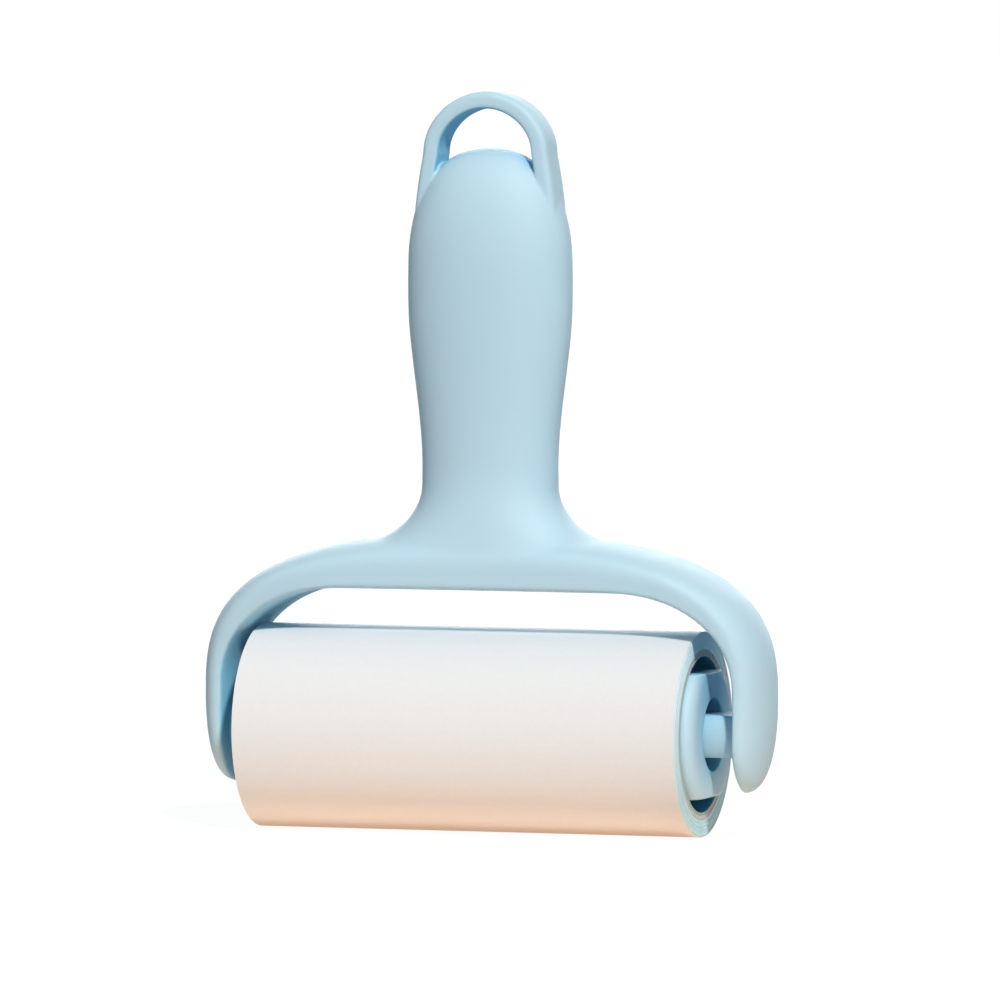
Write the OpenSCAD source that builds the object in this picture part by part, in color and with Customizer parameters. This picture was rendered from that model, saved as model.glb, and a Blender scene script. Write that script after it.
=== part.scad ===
// Mini lint roller: a one-piece handle with a hanging loop and a two-armed yoke,
// holding a roll of tear-off sticky sheets on two hubs that turn on the arms' stub axles.
// Millimetres, +Z up. The origin is on the ground under the middle of the roll,
// X runs along the roll's axis and the roll's contact line is at Z = 0.

/* [Overall] */
// Height from the roll's contact line to the top of the loop
overall_h = 98; // [95:1:103]
// Width across the outside of the two arms
overall_w = 78; // [77:0.5:80]

/* [Roll] */
// Outside diameter of the full roll
roll_d = 27.3; // [26.8:0.1:27.8]
// Length of the roll of sheets
roll_len = 61; // [58:0.2:62]
// How far the roll sits off centre in its end play
roll_shift = -1.1; // [-1.3:0.1:1.3]
// Bore of the cardboard core
core_bore_d = 20.5; // [20:0.1:20.8]
// Wall of the cardboard core
core_wall = 1; // [0.8:0.1:1.2]
// Sheets wound under the top one
sheet_count = 18; // [8:1:19]
// Angle left bare between the two ends of the top sheet
bare_angle = 40; // [20:2:60]
// Where the top sheet's leading edge lies, measured from straight up towards the front
lead_angle = 18; // [10:1:40]

/* [Hubs and axles] */
// How far each hub stands out of the roll's end
hub_proud = 1.4; // [1:0.1:1.8]
// Distance across the flats of a hub
hub_flats = 16.4; // [15:0.2:17.4]
// Diameter of the stub axles
axle_d = 9.4; // [9:0.1:9.8]
// Distance across the flats of the stub axles
axle_flats = 5.6; // [5.2:0.1:6.4]
// Radial running clearance of a hub on its axle
running_gap = 0.08; // [0.05:0.01:0.1]

/* [Grip] */
// Widest part of the grip
grip_w = 22.3; // [21:0.1:23]
// Thickest part of the grip, front to back
grip_d = 14; // [13:0.2:15]
// Width of the neck under the grip
neck_w = 18.3; // [17:0.1:19]
// Thickness of the neck, front to back
neck_d = 12.6; // [12:0.2:13.4]

/* [Loop] */
// Width of the loop's band, seen from the front
loop_band = 2.3; // [2:0.1:2.6]
// Depth of the loop, front to back
loop_d = 5.8; // [4.8:0.2:6.4]
// Outside radius of the loop's arch
loop_r = 8.2; // [8:0.1:8.8]

/* [Yoke] */
// Clear distance between the inner faces of the arms
arm_gap = 69.2; // [69:0.2:70.4]
// Depth of an arm, front to back
arm_d = 14; // [13:0.2:15]
// Depth of the yoke at its shoulders, front to back
shoulder_d = 16.6; // [15.6:0.2:17.4]
// How far the arms reach below the roll's axis
arm_drop = 7.55; // [6.95:0.1:8.15]
// Height of the yoke's underside above the roll's axis
bridge_z = 18.65; // [18.05:0.1:19.75]

/* [Hidden] */
// The wound sheets are numbered from the core outwards
function sheet_name(i) = str("sheet_", i < 10 ? "0" : "", i);

BLUE = [0.73, 0.86, 0.9];
WHITE = [0.95, 0.95, 0.94];
KRAFT = [0.78, 0.68, 0.55];

axis_z = roll_d / 2;
top_z = overall_h - axis_z;              // top of the loop above the axis
arm_in = arm_gap / 2;                    // inner face of an arm
arm_t = overall_w / 2 - arm_in;          // an arm's greatest thickness

// Roll
sheet_t = 0.1;
film_gap = 0.01;
core_r = core_bore_d / 2 + core_wall;
top_sheet_in = roll_d / 2 - sheet_t;
wound_pitch = (top_sheet_in - core_r - film_gap) / sheet_count;
seam = 0.5;                              // gap between the ends of a wound sheet
seam_step = 19;                          // how far each seam lies round from the one under it

// Hubs and axles
hub_r = core_bore_d / 2 - 0.02;          // a close slide fit in the core
hub_round = 2.2;                         // how far in from its rim the hub's face is rounded over
hub_plate = 3;                           // thickness of the hub's face plate
hub_skirt = 9;                           // how far the hub reaches into the core
hub_wall = 1.5;
pocket_r = axle_d / 2 + running_gap;
pocket_wall = 1.2;                       // wall left round the pocket behind the face plate
end_play = 1.3;                          // the roll's free travel each way from the middle
axle_root = 1.2;                         // how deep an axle is merged into its arm
axle_reach = 9.5;                        // length of an axle inside the arm's face
axle_tip = 0.6;                          // bevel that leads an axle into its hub
pocket_depth = roll_len / 2 + hub_proud - (arm_in - axle_reach) + end_play;

// Outline of the yoke above the axis. Inside it is flat, with a quarter ellipse at each
// shoulder. Outside it is one superellipse from arm to arm.
inner_c = [arm_in - 16, 5.75];
inner_a = [16, bridge_z - 5.75];
inner_n = 2.15;                          // exponent of the inner outline
outer_c = [0, 4.75];
outer_a = [overall_w / 2, 21.03];
outer_n = 2.7;                           // exponent of the outer outline
outer_start = 28;                        // angle on the superellipse where the shoulder starts
tip_h = 7.4;                             // height of the rounded end of an arm
tip_taper = 0.46;                        // how an arm thins towards its tip
tip_t = 0.1;                             // thickness left at the tip, as a share of the arm's
tip_lean = 0.55;                         // how far the arm's end leans outwards
tip_k = 0.14;                            // depth left at the tip, as a share of the arm's

// Section of the yoke, on the bridge and on an arm. Heights are shares of its thickness.
side_at = [0.45, 0.29];                  // where the outer face's crown starts
belly_at = [0.13, 0.2];                  // how far the inner face curves away at its edges
crown_n = [2.6, 2];                      // exponent of the outer face's curve
belly_n = [4, 1.7];                      // and of the inner face's

// Outline of the grip, as heights above the axis and widths
grip_mid = 57.75;                        // height of the grip's widest part
neck_z = 34.75;                          // height of the narrowest part of the neck
flare = [11, 8.2];                       // width and height of the elliptical fillet above the yoke
flare_top = 32.35;                       // height where that fillet starts
dome_z = 59.75;                          // where the grip starts to close into its dome
dome_top = 76.75;                        // and the dome's highest point
dome_n = 2.4;                            // exponent of the dome's outline
grip_n = 2.15;                           // exponent of the grip's section
base_n = 2.5;                            // and of its section where it meets the yoke
base_h = 12;                             // height over which one section turns into the other
base_z = bridge_z + 0.6;                 // the grip's lowest section, inside the yoke
grip_points = 36;

// Loop, and the rails that carry it down the sides of the grip
rail_foot = 57;                          // heights of a rail's foot and of its last point below the arch
rail_top = 75;
rail_mid = 62.75;                        // height where the rails stand furthest apart
rail_out = 10.1;                         // and how far out they stand there
rail_curve = 0.0081;                     // how fast they close in above and below it
arch_spread = 0.5;                       // how much wider than round the arch is at its feet
band_bevel = 0.5;                        // bevel along the band's four edges

// ---------- Shared shapes ----------

// A point on a superellipse with centre c, half axes a and exponent n, measured from straight up
function super_at(c, a, n, angle) =
    [c[0] + a[0] * pow(max(sin(angle), 0), 2 / n), c[1] + a[1] * pow(max(cos(angle), 0), 2 / n)];

// Smooth step from 0 to 1
function ease(t) = let (u = min(max(t, 0), 1)) u * u * (3 - 2 * u);

function mix(a, b, t) = a + (b - a) * t;

// A cosine or sine bent to a superellipse's, keeping its sign
function bulge(v, p) = sign(v) * pow(abs(v), p);

// Skins closed rings that have the same number of points into one solid with closed ends
module skin(rings) {
    n = len(rings[0]);
    m = len(rings);
    sides = [for (i = [0:m - 2], j = [0:n - 1])
        let (a = i * n + j, b = i * n + (j + 1) % n)
        each [[a, b, b + n], [a, b + n, a + n]]];
    ends = [[for (j = [n - 1:-1:0]) j], [for (j = [0:n - 1]) (m - 1) * n + j]];
    polyhedron(points = [for (r = rings) each r], faces = concat(sides, ends));
}

// A round bar along X with a flat above and below
module flatted_bar(r, flats, length) {
    intersection() {
        rotate([0, 90, 0]) cylinder(r = r, h = length, $fn = 96);
        translate([0, -r, -flats / 2]) cube([length, 2 * r, flats]);
    }
}

// A tube along X, centred on the roll
module roll_tube(r_in, r_out, length) {
    translate([roll_shift, 0, axis_z]) rotate([0, 90, 0])
        linear_extrude(length, center = true) difference() {
            circle(r = r_out, $fn = 180);
            circle(r = r_in, $fn = 180);
        }
}

// A sheet wrapped round the roll from one angle to another, both measured from
// straight up towards the front
module wrap(r_in, r_out, from, to, length) {
    translate([roll_shift, 0, axis_z]) rotate([0, 90, 0])
        rotate([0, 0, 180 - to])
            translate([0, 0, -length / 2])
                rotate_extrude(angle = to - from, $fn = 180)
                    translate([r_in, 0]) square([r_out - r_in, length]);
}

// ---------- Handle frame ----------

// Extra half width of the fillet above the yoke
function flare_w(z) =
    let (h = min(max(flare_top - z, 0) / flare[1], 1)) flare[0] * (1 - sqrt(1 - h * h));

// Share of the grip's full section that is left at a height on the dome
function dome_share(z) = pow(1 - pow(max(z - dome_z, 0) / (dome_top - dome_z), dome_n), 1 / dome_n);

// Half width and half depth of the grip at a height above the axis
function grip_half_w(z) =
    mix(neck_w, grip_w, ease((z - neck_z) / (grip_mid - neck_z))) / 2 * dome_share(z) + flare_w(z);

function grip_half_d(z) =
    mix(neck_d, grip_d, ease((z - neck_z) / (grip_mid - neck_z))) / 2 * dome_share(z)
    + (shoulder_d - neck_d) / 2 * ease((neck_z - z) / (neck_z - bridge_z));

// A grip section: nearly elliptical, and squarer where it meets the yoke
function grip_ring(z) =
    let (n = mix(grip_n, base_n, ease((neck_z - z) / base_h)))
    [for (i = [0:grip_points - 1])
        let (a = -360 * i / grip_points, c = cos(a), s = sin(a))
        [grip_half_w(z) * bulge(c, 2 / n), grip_half_d(z) * bulge(s, 2 / n), z]];

// Sections lie close together round the fillet and the dome, and further apart between
module grip() {
    low = [for (z = [base_z:0.8:neck_z]) z];
    middle = [for (z = [neck_z + 1.4:2.2:dome_z - 0.2]) z];
    dome = [for (a = [4:6:88]) dome_z + (dome_top - dome_z) * sin(a)];
    skin([for (z = concat(low, middle, dome)) grip_ring(z)]);
}

// One section of the yoke between an inner and an outer point of its outline. The outer face
// is crowned from front to back, and the inner face curves away at its edges. The share k
// runs from 0 on the bridge to 1 on an arm.
function yoke_ring(inner, outer, half_d, k) =
    let (t = norm(outer - inner),
         u = (outer - inner) / t,
         side = mix(side_at[0], side_at[1], k),
         belly = mix(belly_at[0], belly_at[1], k),
         po = 2 / mix(crown_n[0], crown_n[1], k),
         pi = 2 / mix(belly_n[0], belly_n[1], k),
         crown = [for (a = [0:10:180])
             [bulge(cos(a), po) * half_d, t * (side + (1 - side) * bulge(sin(a), po))]],
         under = [for (a = [180:15:360])
             [bulge(cos(a), pi) * half_d, t * belly * (1 + bulge(sin(a), pi))]])
    [for (p = concat(crown, under)) [inner[0] + u[0] * p[1], -p[0], inner[1] + u[1] * p[1]]];

// The yoke's sections from the middle of the bridge, round the shoulder to the arm's tip
function bridge_ring(t) =
    let (x = super_at(outer_c, outer_a, outer_n, outer_start)[0] * t)
    yoke_ring([inner_c[0] * t, bridge_z],
              [x, outer_c[1] + outer_a[1] * pow(1 - pow(x / outer_a[0], outer_n), 1 / outer_n)],
              shoulder_d / 2, 0);

function shoulder_ring(a) =
    yoke_ring(super_at(inner_c, inner_a, inner_n, a),
              super_at(outer_c, outer_a, outer_n, mix(outer_start, 90, a / 90)),
              mix(shoulder_d, arm_d, ease(a / 90)) / 2, ease(a / 90));

// The arm narrows to a rounded tip in both views
function arm_ring(s) =
    let (z = mix(inner_c[1], -arm_drop, s),
         below = (outer_c[1] - min(z, outer_c[1])) / (outer_c[1] + arm_drop),
         h = max(-arm_drop + tip_h - z, 0) / tip_h,
         x = arm_in + tip_lean * h * h)
    yoke_ring([x, z],
              [x + arm_t * max(pow(1 - below * below, tip_taper), tip_t),
               mix(outer_c[1], -arm_drop, s)],
              arm_d / 2 * sqrt(max(1 - h * h, tip_k * tip_k)), 1);

module half_yoke() {
    bridge = [for (t = [0:0.25:0.75]) bridge_ring(t)];
    shoulder = [for (a = [0:5:90]) shoulder_ring(a)];
    arm = [for (a = [9:9:90]) arm_ring(sin(a))];
    skin(concat(bridge, shoulder, arm));
}

// The middle line of the loop's band: a rail up one side of the grip, the arch, and the other rail
function rail(side) =
    [for (z = [rail_foot:3:rail_top])
        [side * (rail_out - rail_curve * (z - rail_mid) * (z - rail_mid) - loop_band / 2), z]];

function arch() =
    let (r = loop_r - loop_band / 2, zc = top_z - loop_r)
    [for (a = [180:-10:0]) [(r + arch_spread * abs(cos(a))) * cos(a), zc + r * sin(a)]];

// One section of the band, square to its path
function band_ring(p, dir) =
    let (n = [-dir[1], dir[0]], c = band_bevel)
    [for (q = [[1, -1], [1, 1], [-1, 1], [-1, -1]], k = [0:1])
        let (w = loop_band / 2, d = loop_d / 2,
             cut = (k == 0) == (q[0] * q[1] > 0),
             across = q[0] * (cut ? w : w - c),
             deep = q[1] * (cut ? d - c : d))
        [p[0] + n[0] * across, deep, p[1] + n[1] * across]];

module loop() {
    right = rail(1);
    path = concat(rail(-1), arch(), [for (i = [len(right) - 1:-1:0]) right[i]]);
    last = len(path) - 1;
    skin([for (i = [0:last])
        let (d = path[min(i + 1, last)] - path[max(i - 1, 0)])
        band_ring(path[i], d / norm(d))]);
}

// The right arm's stub axle: round, with a flat above and below and a bevelled tip
module stub_axle() {
    length = axle_reach + axle_root;
    translate([arm_in - axle_reach, 0, 0]) intersection() {
        flatted_bar(axle_d / 2, axle_flats, length);
        rotate([0, 90, 0]) rotate_extrude($fn = 96)
            polygon([[0, 0], [axle_d / 2 - axle_tip, 0], [axle_d / 2, axle_tip],
                     [axle_d / 2, length], [0, length]]);
    }
}

module handle_frame() {
    color(BLUE) translate([0, 0, axis_z]) {
        grip();
        loop();
        for (side = [0, 1]) mirror([side, 0, 0]) {
            half_yoke();
            stub_axle();
        }
    }
}

// ---------- Hubs ----------

// A hub for the roll's right end: a flatted face plate and skirt that grip the core,
// with a blind pocket that turns on the axle
module hub() {
    depth = hub_proud + hub_skirt;
    rim = [for (a = [0:15:90]) [hub_r - hub_round * (1 - sin(a)), hub_proud * (1 - cos(a))]];
    color(BLUE) difference() {
        intersection() {
            rotate([0, -90, 0]) rotate_extrude($fn = 120)
                polygon(concat([[0, 0]], rim, [[hub_r, depth], [0, depth]]));
            translate([-depth, -hub_r, -hub_flats / 2]) cube([depth, 2 * hub_r, hub_flats]);
        }
        // Hollow behind the face plate, round the pocket's wall
        difference() {
            translate([-depth - 1, 0, 0]) intersection() {
                rotate([0, 90, 0]) cylinder(r = hub_r - hub_wall, h = depth + 1 - hub_plate, $fn = 96);
                translate([0, -hub_r, -hub_flats / 2 + hub_wall])
                    cube([depth + 1 - hub_plate, 2 * hub_r, hub_flats - 2 * hub_wall]);
            }
            translate([-pocket_depth - pocket_wall, 0, 0]) rotate([0, 90, 0])
                cylinder(r = pocket_r + pocket_wall, h = pocket_depth + pocket_wall, $fn = 96);
        }
        translate([-pocket_depth, 0, 0]) rotate([0, 90, 0])
            cylinder(r = pocket_r, h = pocket_depth + 1, $fn = 96);
    }
}

module place_hub(side) {
    translate([roll_shift, 0, axis_z]) mirror([side < 0 ? 1 : 0, 0, 0])
        translate([roll_len / 2 + hub_proud, 0, 0]) hub();
}

// ---------- Roll ----------

module core_tube() {
    color(KRAFT) roll_tube(core_bore_d / 2, core_r, roll_len);
}

// A wound tear-off sheet, one full turn of the roll
module sheet(i) {
    r = core_r + film_gap + (i - 1) * wound_pitch;
    gap = seam / r * 180 / PI;
    from = i * seam_step;
    color(WHITE) wrap(r, r + wound_pitch - film_gap, from + gap, from + 360, roll_len);
}

// The sheet in use, from its leading edge down the front and round to its other end
module top_sheet() {
    color(WHITE) wrap(top_sheet_in, roll_d / 2, lead_angle, lead_angle + 360 - bare_angle, roll_len);
}

handle_frame();
place_hub(-1);  // left_hub
place_hub(1);  // right_hub
core_tube();
for (i = [1:sheet_count]) sheet(i);
top_sheet();
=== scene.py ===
import math
import random

import bmesh
import bpy
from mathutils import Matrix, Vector, noise


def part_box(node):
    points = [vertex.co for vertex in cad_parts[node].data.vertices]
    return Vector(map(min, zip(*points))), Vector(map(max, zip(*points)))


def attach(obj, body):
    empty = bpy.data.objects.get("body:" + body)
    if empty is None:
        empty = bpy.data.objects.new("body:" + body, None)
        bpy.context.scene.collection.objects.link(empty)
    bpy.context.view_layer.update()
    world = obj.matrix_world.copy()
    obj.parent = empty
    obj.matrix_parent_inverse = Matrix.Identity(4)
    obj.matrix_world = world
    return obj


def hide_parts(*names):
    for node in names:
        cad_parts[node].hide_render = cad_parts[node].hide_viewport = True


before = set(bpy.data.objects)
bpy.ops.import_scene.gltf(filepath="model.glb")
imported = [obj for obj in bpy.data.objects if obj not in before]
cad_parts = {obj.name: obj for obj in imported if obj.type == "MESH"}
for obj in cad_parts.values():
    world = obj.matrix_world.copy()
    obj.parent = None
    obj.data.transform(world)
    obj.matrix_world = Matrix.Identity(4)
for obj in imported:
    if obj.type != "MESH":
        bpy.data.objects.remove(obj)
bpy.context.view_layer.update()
MM = 0.001
rng = random.Random(7)


# ---------- Sizes, in mm, from the frame ----------

def box_mm(cad_node):
    """A CAD node's lowest and highest corners in millimetres."""
    lo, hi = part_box(cad_node)
    return lo / MM, hi / MM


handle_lo, handle_hi = box_mm("handle_frame")
core_lo, core_hi = box_mm("core_tube")

AXIS_Z = (core_lo.z + core_hi.z) / 2
ROLL_X = (core_lo.x + core_hi.x) / 2
ROLL_LEN = core_hi.x - core_lo.x
CORE_R = (core_hi.z - core_lo.z) / 2
HALF_W = handle_hi.x
TOP_Z = handle_hi.z - AXIS_Z
SHOULDER_D = handle_hi.y - handle_lo.y
SHEETS = sorted(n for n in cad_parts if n.startswith("sheet_"))
CORE_WALL = 1.0
SHEET_T = 0.115
SEAM, SEAM_STEP = 0.5, 19.0  # a wound sheet's gap in mm, and the degrees from one sheet's gap to the next
LEAD, WRAP = 18.0, 320  # the top sheet's leading edge and how far round it goes, in degrees


# ---------- Small helpers ----------

def mix(a, b, t):
    return a + (b - a) * t


def ease(t):
    t = min(max(t, 0.0), 1.0)
    return t * t * (3 - 2 * t)


def signed_pow(v, p):
    return math.copysign(abs(v) ** p, v)


def steps(a, b, n):
    """n + 1 evenly spaced values from a to b."""
    return [mix(a, b, i / n) for i in range(n + 1)]


def mesh_object(name, verts, faces):
    """A new object from points in mm about the roll's axis height."""
    mesh = bpy.data.meshes.new(name)
    mesh.from_pydata([(x * MM, y * MM, (z + AXIS_Z) * MM) for x, y, z in verts], [], faces)
    mesh.validate()
    bm = bmesh.new()
    bm.from_mesh(mesh)
    bmesh.ops.recalc_face_normals(bm, faces=bm.faces)
    bm.to_mesh(mesh)
    bm.free()
    obj = bpy.data.objects.new(name, mesh)
    bpy.context.scene.collection.objects.link(obj)
    return obj


def skin(rings, closed=False):
    """Points and quads of a surface through rings of equal length, its ends capped unless it closes."""
    n, m = len(rings[0]), len(rings)
    faces = []
    for i in range(m if closed else m - 1):
        for j in range(n):
            k = (j + 1) % n
            a, b = i * n, (i + 1) % m * n
            faces.append((a + j, a + k, b + k, b + j))
    if not closed:
        faces += [tuple(range(n)), tuple(range((m - 1) * n, m * n))]
    return [p for ring in rings for p in ring], faces


def apply_modifiers(obj):
    """Replaces obj's mesh with the result of its modifiers."""
    bpy.context.view_layer.update()
    done = bpy.data.meshes.new_from_object(obj.evaluated_get(bpy.context.evaluated_depsgraph_get()))
    old = obj.data
    obj.modifiers.clear()
    obj.data = done
    bpy.data.meshes.remove(old)


def shade_smooth(obj, angle=None):
    """Smooth shading, with edges sharper than angle degrees kept crisp."""
    for p in obj.data.polygons:
        p.use_smooth = True
    if angle is not None:
        obj.data.set_sharp_from_angle(angle=math.radians(angle))


# ---------- Handle: one moulding ----------

# Heights are above the roll's axis.
GRIP_W, GRIP_D = 22.3, 14.0
NECK_W, NECK_D = 18.3, 12.6
GRIP_MID, NECK_Z = 57.75, 34.75
FLARE_W, FLARE_H, FLARE_TOP = 11.0, 8.2, 32.35
DOME_Z, DOME_TOP, DOME_N = 59.75, 76.75, 2.4
BRIDGE_Z = 18.65
INNER_A, INNER_Z, INNER_N = 16.0, 5.75, 2.15
OUTER_Z, OUTER_H, OUTER_N, OUTER_START = 4.75, 21.03, 2.7, 28
ARM_IN, ARM_D, ARM_DROP = 34.6, 14.0, 7.55
TIP_H, TIP_LEAN, TIP_TAPER = 7.4, 0.55, 0.46
AXLE_R, AXLE_FLAT, AXLE_REACH, AXLE_EDGE = 4.66, 2.78, 9.5, 0.6
LOOP_R, LOOP_BAND, LOOP_D, LOOP_BULGE = 8.2, 2.3, 5.8, 0.5
RAIL_MID, RAIL_OUT, RAIL_CURVE = 62.75, 10.1, 0.0081
HANDLE_VOXEL, HANDLE_FACES = 0.2, 0.39  # remeshed at this voxel, then this share of the faces is kept
HUB_VOXEL, HUB_FACES = 0.14, 0.5


def flare(z):
    h = min(max(FLARE_TOP - z, 0) / FLARE_H, 1)
    return FLARE_W * (1 - math.sqrt(1 - h * h))


def dome_share(z):
    return max(1 - (max(z - DOME_Z, 0) / (DOME_TOP - DOME_Z)) ** DOME_N, 0) ** (1 / DOME_N)


def grip_ring(z, points=120):
    rise = ease((z - NECK_Z) / (GRIP_MID - NECK_Z))
    base = ease((NECK_Z - z) / (NECK_Z - BRIDGE_Z))
    w = mix(NECK_W, GRIP_W, rise) / 2 * dome_share(z) + flare(z)
    d = mix(NECK_D, GRIP_D, rise) / 2 * dome_share(z) + (SHOULDER_D - NECK_D) / 2 * base
    p = 2 / mix(2.15, 2.5, ease((NECK_Z - z) / 12))
    ring = []
    for i in range(points):
        a = 2 * math.pi * i / points
        ring.append((w * signed_pow(math.cos(a), p), d * signed_pow(math.sin(a), p), z))
    return ring


def grip():
    heights = steps(BRIDGE_Z + 0.6, NECK_Z, 50) + steps(NECK_Z, DOME_Z, 50)[1:]
    heights += [DOME_Z + (DOME_TOP - DOME_Z) * math.sin(math.radians(a)) for a in steps(2, 89, 48)]
    return skin([grip_ring(z) for z in heights])


def superellipse(cx, cz, ax, az, n, degrees):
    s, c = math.sin(math.radians(degrees)), max(math.cos(math.radians(degrees)), 0)
    return Vector((cx + ax * s ** (2 / n), cz + az * c ** (2 / n)))


def yoke_ring(inner, outer, half_d, k):
    """A section of the yoke, crowned outside, with a rounder inner face. k is 0 on the bar, 1 on an arm."""
    across = outer - inner
    t = across.length
    u = across / t
    side, belly = mix(0.45, 0.29, k), mix(0.13, 0.2, k)
    po, pi = 2 / mix(2.6, 2.0, k), 2 / mix(4.0, 1.7, k)
    profile = [(half_d * signed_pow(math.cos(a), po), t * (side + (1 - side) * signed_pow(math.sin(a), po)))
               for a in steps(0, math.pi, 48)]
    profile += [(half_d * signed_pow(math.cos(a), pi), t * belly * (1 + signed_pow(math.sin(a), pi)))
                for a in steps(math.pi, 2 * math.pi, 48)]
    return [(inner.x + u.x * h, y, inner.y + u.y * h) for y, h in profile]


def half_yoke():
    """The bar from its middle, the shoulder's bend and one arm down to its tip, at x above 0."""
    bend_x = ARM_IN - INNER_A

    def inside(degrees):
        return superellipse(bend_x, INNER_Z, INNER_A, BRIDGE_Z - INNER_Z, INNER_N, degrees)

    def outside(degrees):
        return superellipse(0, OUTER_Z, HALF_W, OUTER_H, OUTER_N, degrees)

    rings = []
    corner = outside(OUTER_START).x
    for t in steps(0, 1, 24)[:-1]:
        top = OUTER_Z + OUTER_H * (1 - (corner * t / HALF_W) ** OUTER_N) ** (1 / OUTER_N)
        rings.append(yoke_ring(Vector((bend_x * t, BRIDGE_Z)), Vector((corner * t, top)), SHOULDER_D / 2, 0))
    for a in steps(0, 90, 60):
        t = ease(a / 90)
        rings.append(yoke_ring(inside(a), outside(mix(OUTER_START, 90, a / 90)),
                               mix(SHOULDER_D, ARM_D, t) / 2, t))
    for a in steps(0, 90, 36)[1:]:
        s = math.sin(math.radians(a))
        z = mix(INNER_Z, -ARM_DROP, s)
        below = (OUTER_Z - min(z, OUTER_Z)) / (OUTER_Z + ARM_DROP)
        h = max(-ARM_DROP + TIP_H - z, 0) / TIP_H
        thin = max((1 - below * below) ** TIP_TAPER if below < 1 else 0, 0.1)
        x = ARM_IN + TIP_LEAN * h * h
        rings.append(yoke_ring(Vector((x, z)),
                               Vector((x + (HALF_W - ARM_IN) * thin, mix(OUTER_Z, -ARM_DROP, s))),
                               ARM_D / 2 * math.sqrt(max(1 - h * h, 0.02)), 1))
    return skin(rings)


def loop():
    """The hanging loop's band: up one side of the grip, over the arch and down the other."""
    def rail(side):
        return [Vector((side * (RAIL_OUT - RAIL_CURVE * (z - RAIL_MID) ** 2 - LOOP_BAND / 2), z))
                for z in steps(57, 75, 24)]

    r, zc = LOOP_R - LOOP_BAND / 2, TOP_Z - LOOP_R
    arch = []
    for a in steps(math.pi, 0, 80):
        arch.append(Vector(((r + LOOP_BULGE * abs(math.cos(a))) * math.cos(a), zc + r * math.sin(a))))
    path = rail(-1) + arch + rail(1)[::-1]
    rings = []
    for i, p in enumerate(path):
        d = (path[min(i + 1, len(path) - 1)] - path[max(i - 1, 0)]).normalized()
        n = Vector((-d.y, d.x))
        ring = []
        for j in range(48):
            a = 2 * math.pi * j / 48
            outer = math.cos(a) > 0
            across = LOOP_BAND / 2 * signed_pow(math.cos(a), 0.6 if outer else 0.3)
            deep = LOOP_D / 2 * signed_pow(math.sin(a), 0.45 if outer else 0.16)
            ring.append((p.x + n.x * across, deep, p.y + n.y * across))
        rings.append(ring)
    return skin(rings)


def stub_axle():
    """A flatted pin from inside the arm towards the roll, its end chamfered."""
    end, root = ARM_IN - AXLE_REACH, ARM_IN + 1.2
    rings = []
    for x, r in [(end, AXLE_R - AXLE_EDGE), (end + AXLE_EDGE, AXLE_R), (root, AXLE_R)]:
        ring = []
        for i in range(96):
            a = 2 * math.pi * i / 96
            z = min(max(r * math.cos(a), -AXLE_FLAT), AXLE_FLAT)
            ring.append((x, r * math.sin(a), z))
        rings.append(ring)
    return skin(rings)


def build_handle():
    """One skin round all the parts, with the neck's crest and the rails' feet smoothed the most."""
    verts, faces = [], []
    for part, sides in ((grip(), (1,)), (loop(), (1,)), (half_yoke(), (1, -1)), (stub_axle(), (1, -1))):
        for side in sides:
            base = len(verts)
            verts += [(x * side, y, z) for x, y, z in part[0]]
            faces += [tuple(base + i for i in (f if side > 0 else f[::-1])) for f in part[1]]
    handle = mesh_object("handle", verts, faces)
    remesh = handle.modifiers.new("one_body", "REMESH")
    remesh.mode = "VOXEL"
    remesh.voxel_size = HANDLE_VOXEL * MM
    apply_modifiers(handle)
    blends = handle.vertex_groups.new(name="blends")
    for v in handle.data.vertices:
        x, y, z = abs(v.co.x) / MM, abs(v.co.y) / MM, v.co.z / MM - AXIS_Z
        crest = ease((z - 19.5) / 2.5) * ease((29 - z) / 3) * ease((27 - x) / 4)
        foot = ease((z - 54) / 2) * ease((64 - z) / 3) * ease((x - 7) / 2) * ease((5.5 - y) / 1.5)
        if max(crest, foot) > 0.01:
            blends.add([v.index], max(crest, foot), "REPLACE")
    fillet = handle.modifiers.new("fillet", "SMOOTH")
    fillet.vertex_group = "blends"
    fillet.factor = 0.5
    fillet.iterations = 90
    soften = handle.modifiers.new("soften", "SMOOTH")
    soften.factor = 0.5
    soften.iterations = 5
    thin = handle.modifiers.new("thin", "DECIMATE")
    thin.ratio = HANDLE_FACES
    apply_modifiers(handle)
    shade_smooth(handle)
    return handle


# ---------- Hubs: the CAD mouldings with softened edges ----------

def build_hub(cad_node):
    """A copy of a hub, remeshed so that its edges can be rounded."""
    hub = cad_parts[cad_node].copy()
    hub.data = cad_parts[cad_node].data.copy()
    hub.name = cad_node + "_moulding"
    bpy.context.scene.collection.objects.link(hub)
    bm = bmesh.new()
    bm.from_mesh(hub.data)
    bmesh.ops.remove_doubles(bm, verts=bm.verts, dist=1e-6)
    bm.to_mesh(hub.data)
    bm.free()
    hub.parent = None
    remesh = hub.modifiers.new("soft_edges", "REMESH")
    remesh.mode = "VOXEL"
    remesh.voxel_size = HUB_VOXEL * MM
    soften = hub.modifiers.new("soften", "SMOOTH")
    soften.factor = 0.5
    soften.iterations = 4
    thin = hub.modifiers.new("thin", "DECIMATE")
    thin.ratio = HUB_FACES
    apply_modifiers(hub)
    shade_smooth(hub)
    return hub


# ---------- Roll: the core's plies, the wound sheets and the top sheet ----------

def around(x, r, degrees):
    """A point on the roll, by its angle from straight up towards the front."""
    a = math.radians(degrees)
    return (x, -r * math.sin(a), r * math.cos(a))


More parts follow.
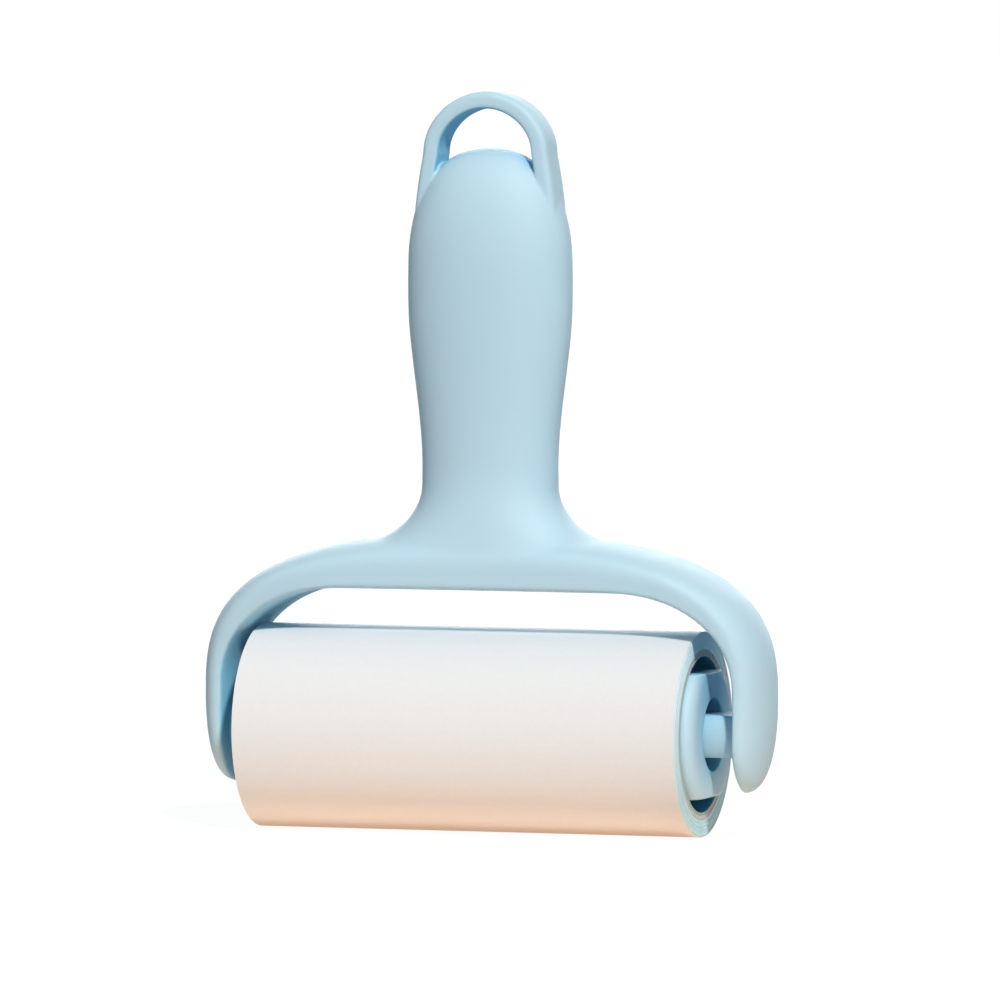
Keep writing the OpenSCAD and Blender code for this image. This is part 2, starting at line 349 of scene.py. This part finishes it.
def build_core():
    """A spiral-wound tube: its plies end a little unevenly, and their seam runs round the bore."""
    n, plies, seam_turns = 180, 3, 4
    r_in, r_out = CORE_R - CORE_WALL, CORE_R - 0.005
    ply = (r_out - r_in) / plies
    half = ROLL_LEN / 2
    uneven = [0.0, 0.07, 0.03]
    profile = [(ROLL_X - half + 0.02, r_out - 0.04), (ROLL_X - half + 0.06, r_out)]
    profile += [(x, r_out) for x in steps(ROLL_X - half + 2, ROLL_X + half - 2, 4)]
    profile += [(ROLL_X + half - 0.06, r_out), (ROLL_X + half - 0.02, r_out - 0.04)]

    def end(side):
        points = []
        for i in range(plies):
            high = r_out - i * ply
            x = ROLL_X + side * (half - uneven[i] - 0.02)
            points += [(x, high - (0.04 if i == 0 else 0.0) - 0.05), (x, high - ply + 0.05),
                       (x - side * 0.06, high - ply + 0.02)]
        return points

    profile += end(1)
    profile += [(x, r_in) for x in steps(ROLL_X + half - 0.3, ROLL_X - half + 0.3, 150)]
    profile += end(-1)[::-1]
    rings = []
    for x, r in profile:
        ring = []
        for j in range(n):
            turn = j / n
            radius = r
            if r == r_in:
                off = (x / ROLL_LEN * seam_turns + turn) % 1.0
                off = min(off, 1 - off) * ROLL_LEN / seam_turns
                radius += 0.08 * max(0.0, 1 - (off / 0.45) ** 2)
            ring.append(around(x, radius, 360 * turn))
        rings.append(ring)
    core = mesh_object("core_board_tube", *skin(rings, closed=True))
    shade_smooth(core, 35)
    return core


def build_wound_sheet(number, cad_node):
    """A full turn of paper but for its seam, its ends swaying a little along the roll."""
    lo, hi = box_mm(cad_node)
    r_out = (hi.z - lo.z) / 2
    r_in = r_out - SHEET_T
    left = lo.x + rng.uniform(0.0, 0.09)
    right = hi.x - rng.uniform(0.0, 0.09)
    wave, phase = rng.uniform(0.0, 0.03), rng.uniform(0, 360)
    gap = math.degrees(SEAM / r_in)
    rings = []
    for a in steps(number * SEAM_STEP + gap, number * SEAM_STEP + 360, 150):
        sway = wave * math.sin(math.radians(a + phase))
        start, stop = left + 0.03 + sway, right - 0.03 + sway
        rings.append([around(start, r_in, a), around(start, r_out, a),
                      around(stop, r_out, a), around(stop, r_in, a)])
    sheet = mesh_object(cad_node + "_paper", *skin(rings))
    shade_smooth(sheet, 40)
    return sheet


def build_top_sheet():
    """The sheet in use, its leading edge finely toothed along its perforation and lifted a little."""
    lo, hi = box_mm("top_sheet")
    r = (hi.z - lo.z) / 2
    r_in = r - 0.1 + 0.004
    across = steps(lo.x, hi.x, 152)
    angles = [LEAD + a for a in (0, 0.25, 0.6, 1.2, 2, 3, 4.5, 6, 8)]
    angles += steps(LEAD + 10.5, LEAD + WRAP - 14, 118)
    angles += [LEAD + WRAP - a for a in (11, 8, 5, 3, 1.5, 0.6, 0.25, 0)]
    outer, inner = [], []
    for a in angles:
        from_lead, from_tail = a - LEAD, LEAD + WRAP - a
        rise = 0.16 * max(0.0, 1 - from_lead / 7) ** 2
        row_out, row_in = [], []
        for k, x in enumerate(across):
            tooth = 0.32 if k % 2 else 0.0
            t = tooth * max(0.0, 1 - from_lead / 1.2) - tooth * max(0.0, 1 - from_tail / 1.2)
            ripple = 0.012 * noise.noise(Vector((x * 0.12, math.radians(a) * 2.2, 3.0)))
            edge = rise * (0.75 + 0.25 * math.sin(x * 0.19 + 0.6))
            row_out.append(around(x, r - 0.012 + ripple + edge, a + t))
            row_in.append(around(x, r_in + edge, a + t))
        outer.append(row_out)
        inner.append(row_in)
    n = len(across)
    rings = [o + i[::-1] for o, i in zip(outer, inner)]
    verts, faces = skin(rings)
    faces = faces[:-2]
    last = (len(rings) - 1) * 2 * n
    for k in range(n - 1):
        faces.append((k, k + 1, 2 * n - 2 - k, 2 * n - 1 - k))
        faces.append((last + k, last + k + 1, last + 2 * n - 2 - k, last + 2 * n - 1 - k))
    sheet = mesh_object("top_sheet_paper", verts, faces)
    shade_smooth(sheet, 40)
    return sheet


# ---------- Node helpers ----------

def set_inputs(tree, target, inputs):
    """Numbers and colours become the value of an input, other nodes' outputs are linked to it."""
    for key, value in inputs.items():
        if isinstance(value, bpy.types.NodeSocket):
            tree.links.new(value, target.inputs[key])
        else:
            target.inputs[key].default_value = value


def node(tree, kind, output, inputs, **settings):
    """The named output of a new node."""
    new = tree.nodes.new("ShaderNode" + kind)
    for key, value in settings.items():
        setattr(new, key, value)
    set_inputs(tree, new, inputs)
    return new.outputs[output]


def coords(tree, kind="Object"):
    return node(tree, "TexCoord", kind, {})


def part_of(tree, vector, axis):
    return node(tree, "SeparateXYZ", axis, {"Vector": vector})


def noise_at(tree, scale, detail):
    return node(tree, "TexNoise", "Fac", {"Vector": coords(tree), "Scale": scale, "Detail": detail})


def calculate(tree, operation, a, b=0.0):
    return node(tree, "Math", "Value", {0: a, 1: b}, operation=operation)


def remap(tree, value, low, high, at_low, at_high):
    return node(tree, "MapRange", "Result", {"Value": value, "From Min": low, "From Max": high,
                                             "To Min": at_low, "To Max": at_high})


def blend(tree, factor, a, b):
    return node(tree, "Mix", "Result", {"Factor": factor, "A": a, "B": b}, data_type="RGBA")


def bump(tree, height, strength, distance, below=None):
    inputs = {"Height": height, "Strength": strength, "Distance": distance}
    if below is not None:
        inputs["Normal"] = below
    return node(tree, "Bump", "Normal", inputs)


def material(name):
    mat = bpy.data.materials.new(name)
    mat.use_nodes = True
    return mat, mat.node_tree, mat.node_tree.nodes["Principled BSDF"]


def paint(obj, mat):
    obj.data.materials.clear()
    obj.data.materials.append(mat)


# ---------- Materials ----------

PLASTIC = (0.545, 0.75, 0.84, 1), (0.575, 0.78, 0.865, 1)
PLASTIC_PAINTED_SHADE = (0.20, 0.59, 0.76, 1)
PLASTIC_BOUNCE = (0.06, 0.38, 0.60, 1)
SHEET = (0.875, 0.862, 0.845, 1), (0.925, 0.912, 0.90, 1)
SHEET_END_PAINTED_BLUE = (0.56, 0.90, 0.99, 1)
CARD = (0.50, 0.50, 0.45, 1), (0.66, 0.66, 0.60, 1)
CARD_PAINTED_SHADE = (0.07, 0.34, 0.47, 1)


def end_share(tree):
    """1 on faces that look along the roll, 0 on faces that look away from its axis."""
    return calculate(tree, "ABSOLUTE", part_of(tree, coords(tree, "Normal"), "X"))


def loop_wall_painted_shade(tree, height):
    """Painted shade on the loop's inner wall: how much a point is on that wall, which looks down at a point
    inside the grip.
    """
    below, from_z = 0.083, 0.084
    away = node(tree, "VectorMath", "Vector", {0: (0, 0, below), 1: coords(tree)}, operation="SUBTRACT")
    level = node(tree, "VectorMath", "Vector", {0: away, 1: (1, 0, 1)}, operation="MULTIPLY")
    unit = node(tree, "VectorMath", "Vector", {0: level}, operation="NORMALIZE")
    faces = node(tree, "VectorMath", "Value", {0: unit, 1: coords(tree, "Normal")}, operation="DOT_PRODUCT")
    return calculate(tree, "MULTIPLY", remap(tree, faces, 0.35, 0.8, 0.0, 0.85),
                     remap(tree, height, from_z, from_z + 0.002, 0.0, 1.0))


def plastic(name, shade_reach, is_handle):
    """Matt moulded plastic: fine grain, faint clouding, glossier patches, and painted shade: a deeper blue
    in its hollows and a deeper teal for its bounced light.
    """
    mat, tree, bsdf = material(name)
    open_share = node(tree, "AmbientOcclusion", "AO", {"Distance": shade_reach}, samples=6)
    # Painted shade: the more shut in the ambient occlusion finds the plastic, the deeper blue its colour.
    painted_shade = remap(tree, open_share, 0.2, 0.72, 0.85, 0.0)
    normal = bump(tree, noise_at(tree, 4200, 2), 0.12, 0.00004)
    if is_handle:
        height = part_of(tree, coords(tree), "Z")
        # On the handle the painted shade is weaker low down, under 10 to 14 mm height.
        painted_shade = calculate(tree, "MULTIPLY", painted_shade, remap(tree, height, 0.010, 0.014, 0.3, 1.0))
        # The loop's inner wall gets painted shade too.
        painted_shade = calculate(tree, "MAXIMUM", painted_shade, loop_wall_painted_shade(tree, height))
        from_parting = calculate(tree, "ABSOLUTE", part_of(tree, coords(tree), "Y"))
        normal = bump(tree, remap(tree, from_parting, 0.00004, 0.00014, 1.0, 0.0), 0.5, 0.00005, normal)
    # The painted shade mixes the plastic's own tones towards a deep blue.
    colour = blend(tree, painted_shade, blend(tree, noise_at(tree, 60, 3), *PLASTIC), PLASTIC_PAINTED_SHADE)
    # Painted shade: light bouncing off the plastic is a deeper teal than the plastic looks, deepening the
    # blue of its shade.
    bouncing = node(tree, "LightPath", "Is Diffuse Ray", {})
    set_inputs(tree, bsdf, {
        "Base Color": blend(tree, bouncing, colour, PLASTIC_BOUNCE),
        "Roughness": remap(tree, noise_at(tree, 320, 3), 0.35, 0.65, 0.55, 0.66),
        "Subsurface Weight": 0.12, "Subsurface Radius": (0.0012, 0.0018, 0.0022), "Subsurface Scale": 1.0,
        "Normal": normal})
    return mat


def paper():
    """Coated paper with a fine fibre, painted bluish where the layers' edges show at the roll's ends, a
    painted reflection of the blue plastic beside them.
    """
    mat, tree, bsdf = material("sheet_paper")
    fibre = noise_at(tree, 1800, 4)
    # Faces looking along the roll are painted bluish, a painted reflection of the blue plastic.
    colour = blend(tree, end_share(tree), blend(tree, fibre, *SHEET), SHEET_END_PAINTED_BLUE)
    set_inputs(tree, bsdf, {"Base Color": colour, "Roughness": 0.5,
                            "Normal": bump(tree, fibre, 0.1, 0.00003)})
    return mat


def board():
    """Grey board at its ends; inside and outside it is painted dark teal, painted shade for the bore seen
    past the hubs.
    """
    mat, tree, bsdf = material("kraft_board")
    fibre = noise_at(tree, 1500, 5)
    # Faces looking along the roll are grey board; the rest is painted dark teal as painted shade.
    colour = blend(tree, end_share(tree), CARD_PAINTED_SHADE, blend(tree, fibre, *CARD))
    set_inputs(tree, bsdf, {"Base Color": colour, "Roughness": 0.85,
                            "Normal": bump(tree, fibre, 0.4, 0.00006)})
    return mat


# ---------- Assemble ----------

def place(piece, cad_node, body, mat):
    """Lets a piece stand for a CAD node, moving with its body."""
    paint(piece, mat)
    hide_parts(cad_node)
    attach(piece, body)


HANDLE_PLASTIC = plastic("handle_plastic_blue", 0.008, True)
HUB_PLASTIC = plastic("hub_plastic_blue", 0.006, False)
PAPER, BOARD = paper(), board()

place(build_handle(), "handle_frame", "handle", HANDLE_PLASTIC)
for hub_node in ("left_hub", "right_hub"):
    place(build_hub(hub_node), hub_node, "roll", HUB_PLASTIC)
place(build_core(), "core_tube", "roll", BOARD)
for number, sheet_node in enumerate(SHEETS, 1):
    place(build_wound_sheet(number, sheet_node), sheet_node, "roll", PAPER)
place(build_top_sheet(), "top_sheet", "roll", PAPER)


# ---------- Floor, lights and camera ----------

def look_at(obj, target):
    obj.rotation_euler = (Vector(target) - obj.location).to_track_quat("-Z", "Y").to_euler()


def sun(name, direction, spread, strength, color):
    """A distant soft lamp: direction points to it, spread is its width in degrees."""
    data = bpy.data.lights.new(name, "SUN")
    data.angle = math.radians(spread)
    data.energy = strength
    data.color = color
    obj = bpy.data.objects.new(name, data)
    bpy.context.scene.collection.objects.link(obj)
    obj.location = Vector(direction).normalized()
    look_at(obj, (0, 0, 0))


def build_floor():
    """A pale floor: white to the camera; for bounced light it is warm near the roll and glows warm there, a
    painted glow that lights the roll's underside.
    """
    size, near, far = 6.0, 0.02, 0.07
    mesh = bpy.data.meshes.new("floor")
    mesh.from_pydata([(-size, -size, 0), (size, -size, 0), (size, size, 0), (-size, size, 0)],
                     [], [(0, 1, 2, 3)])
    obj = bpy.data.objects.new("floor", mesh)
    bpy.context.scene.collection.objects.link(obj)
    mat, tree, bsdf = material("floor_matte")
    oval = node(tree, "Mapping", "Vector", {"Vector": coords(tree), "Scale": (0.6, 1, 1)})
    reach = node(tree, "VectorMath", "Value", {0: oval}, operation="LENGTH")
    away = node(tree, "MapRange", "Result", {"Value": reach, "From Min": near, "From Max": far},
                interpolation_type="SMOOTHSTEP")
    to_camera = node(tree, "LightPath", "Is Camera Ray", {})

    def seen(bounce_near, bounce_far, camera_colour):
        """A colour for light that bounces, by distance from the roll, and another for the camera."""
        return blend(tree, to_camera, blend(tree, away, bounce_near, bounce_far), camera_colour)

    set_inputs(tree, bsdf, {
        # Painted glow: for bounced rays the floor is warm near the roll and glows warm there, lighting the
        # roll's underside.
        "Base Color": seen((0.66, 0.53, 0.44, 1), (0.30, 0.33, 0.36, 1), (0.12, 0.12, 0.12, 1)),
        "Emission Color": seen((0.335, 0.24, 0.172, 1), (0, 0, 0, 1), (0.93, 0.93, 0.93, 1)),
        "Emission Strength": 1.0, "Roughness": 1.0, "Specular IOR Level": 0.0})
    paint(obj, mat)


def build_world():
    """Even light: dim overhead, brighter at the horizon, least on the left, and white to the camera."""
    world = bpy.data.worlds.new("studio")
    world.use_nodes = True
    tree = world.node_tree
    way = coords(tree, "Generated")
    level = calculate(tree, "MULTIPLY", remap(tree, part_of(tree, way, "X"), -1, 1, 0.2, 0.23),
                      remap(tree, part_of(tree, way, "Z"), 0, 1, 1.3, 0.35))
    light = tree.nodes["Background"]
    set_inputs(tree, light, {"Color": (0.85, 0.95, 1, 1), "Strength": level})
    backdrop = node(tree, "Background", "Background", {"Color": (1, 1, 1, 1)})
    to_camera = node(tree, "LightPath", "Is Camera Ray", {})
    sky = node(tree, "MixShader", "Shader", {0: to_camera, 1: light.outputs["Background"], 2: backdrop})
    set_inputs(tree, tree.nodes["World Output"], {"Surface": sky})
    bpy.context.scene.world = world


def build_camera():
    """Looks from the photo's side, a little above the level of the object's middle."""
    azimuth, elevation = math.radians(17.8), math.radians(3.15)
    distance, frame_width = 1.494, 0.13201
    aim = Vector((0.0012, 0.0004, 0.0440))
    data = bpy.data.cameras.new("camera")
    data.angle = 2 * math.atan(frame_width / 2 / distance)
    camera = bpy.data.objects.new("camera", data)
    bpy.context.scene.collection.objects.link(camera)
    camera.location = aim + distance * Vector((math.sin(azimuth) * math.cos(elevation),
                                               -math.cos(azimuth) * math.cos(elevation),
                                               math.sin(elevation)))
    look_at(camera, aim)
    bpy.context.scene.camera = camera


build_floor()
sun("key", (0.57, -0.8, 0.92), 4.5, 2.55, (1.0, 0.995, 0.99))
sun("front_fill", (0.35, -1.0, -0.1), 16, 1.25, (0.98, 0.99, 1.0))
sun("side_fill", (-1.0, -0.7, 0.1), 60, 0.38, (0.93, 0.95, 1.0))
sun("back_fill", (-0.25, 1.0, 0.3), 50, 2.4, (0.97, 0.985, 1.0))
build_world()
bpy.context.scene.view_settings.view_transform = "Standard"
build_camera()
